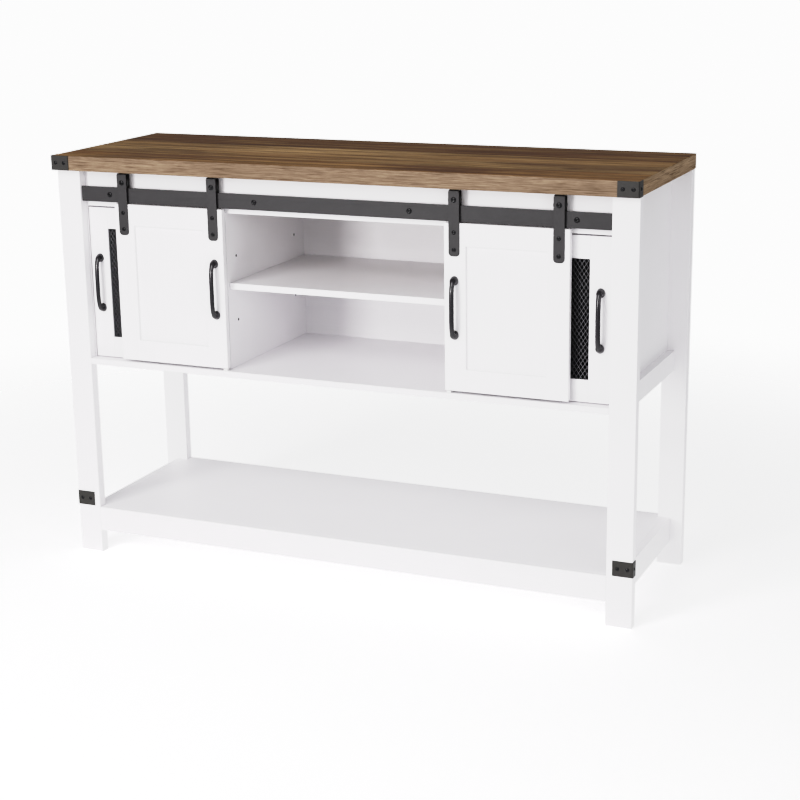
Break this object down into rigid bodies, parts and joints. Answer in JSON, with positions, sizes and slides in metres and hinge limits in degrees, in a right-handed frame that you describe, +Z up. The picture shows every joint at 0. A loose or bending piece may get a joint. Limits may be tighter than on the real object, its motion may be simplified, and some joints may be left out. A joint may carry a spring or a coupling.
{
  "type": "sideboard buffet",
  "caption": "Farmhouse sideboard with a plank top, an open lower shelf, an open centre with a shelf, mesh doors at the ends and sliding barn doors hung from a rail.",
  "frame": {"origin": "bottom centre of the object, on the floor", "axes": "+X to the right seen from the front, +Y to the back, +Z up; the doors and pulls face -Y"},
  "size_m": [1.2, 0.398, 0.83],
  "materials": {
    "white_board": "white satin laminate on board",
    "plank_top": "rustic brown plank print, satin",
    "black_metal": "charcoal satin powder coat",
    "black_mesh": "black powder-coated expanded mesh",
    "steel_pin": "bright zinc",
    "white_plastic": "moulded matte"
  },
  "bodies": {
    "cabinet": {"back_leg_left": "white_board", "back_leg_right": "white_board", "back_panel": "white_board", "cabinet_floor": "white_board", "centre_shelf": "white_board", "floor_guide_left": "white_plastic", "floor_guide_right": "white_plastic", "front_leg_left": "white_board", "front_leg_right": "white_board", "header_board": "white_board", "hinge_left_lower": "black_metal", "hinge_left_upper": "black_metal", "hinge_right_lower": "black_metal", "hinge_right_upper": "black_metal", "leg_corner_bracket_left": "black_metal", "leg_corner_bracket_right": "black_metal", "lower_front_apron": "white_board", "lower_shelf": "white_board", "lower_side_rail_left": "white_board", "lower_side_rail_right": "white_board", "mesh_door_frame_left": "white_board", "mesh_door_frame_right": "white_board", "mesh_door_pull_left": "black_metal", "mesh_door_pull_right": "black_metal", "mesh_panel_left": "black_mesh", "mesh_panel_right": "black_mesh", "partition_left": "white_board", "partition_right": "white_board", "rail_stand_off_1": "black_metal", "rail_stand_off_2": "black_metal", "rail_stand_off_3": "black_metal", "rail_stand_off_4": "black_metal", "shelf_pin_left_back": "steel_pin", "shelf_pin_left_front": "steel_pin", "shelf_pin_right_back": "steel_pin", "shelf_pin_right_front": "steel_pin", "side_panel_left": "white_board", "side_panel_right": "white_board", "top_corner_bracket_left": "black_metal", "top_corner_bracket_right": "black_metal", "top_panel": "plank_top", "track_rail": "black_metal", "upper_side_rail_left": "white_board", "upper_side_rail_right": "white_board"},
    "left_door": {"barn_door_left": "white_board", "barn_door_pull_left": "black_metal", "hanger_left_inner": "black_metal", "axle_bolt_left_inner": "black_metal", "hanger_left_outer": "black_metal", "axle_bolt_left_outer": "black_metal"},
    "left_inner_roller": {"roller_left_inner": "black_metal"},
    "left_outer_roller": {"roller_left_outer": "black_metal"},
    "right_door": {"barn_door_right": "white_board", "barn_door_pull_right": "black_metal", "hanger_right_inner": "black_metal", "axle_bolt_right_inner": "black_metal", "hanger_right_outer": "black_metal", "axle_bolt_right_outer": "black_metal"},
    "right_inner_roller": {"roller_right_inner": "black_metal"},
    "right_outer_roller": {"roller_right_outer": "black_metal"}
  },
  "joints": [
    {"name": "left_door_slide", "type": "slide", "parent": "cabinet", "child": "left_door", "axis": [1, 0, 0], "range_m": [0, 0.227]},
    {"name": "right_door_slide", "type": "slide", "parent": "cabinet", "child": "right_door", "axis": [-1, 0, 0], "range_m": [0, 0.227]},
    {"name": "left_inner_roller_spin", "type": "hinge", "parent": "left_door", "child": "left_inner_roller", "pos_m": [-0.25, -0.175, 0.7793], "axis": [0, 1, 0], "range_deg": [0, 1300]},
    {"name": "left_outer_roller_spin", "type": "hinge", "parent": "left_door", "child": "left_outer_roller", "pos_m": [-0.45, -0.175, 0.7793], "axis": [0, 1, 0], "range_deg": [0, 1300]},
    {"name": "right_inner_roller_spin", "type": "hinge", "parent": "right_door", "child": "right_inner_roller", "pos_m": [0.25, -0.175, 0.7793], "axis": [0, -1, 0], "range_deg": [0, 1300]},
    {"name": "right_outer_roller_spin", "type": "hinge", "parent": "right_door", "child": "right_outer_roller", "pos_m": [0.45, -0.175, 0.7793], "axis": [0, -1, 0], "range_deg": [0, 1300]}
  ],
  "couplings": [
    {"joint": "left_inner_roller_spin", "follows": "left_door_slide", "rad_per_m": 97.09},
    {"joint": "left_outer_roller_spin", "follows": "left_door_slide", "rad_per_m": 97.09},
    {"joint": "right_inner_roller_spin", "follows": "right_door_slide", "rad_per_m": 97.09},
    {"joint": "right_outer_roller_spin", "follows": "right_door_slide", "rad_per_m": 97.09}
  ]
}
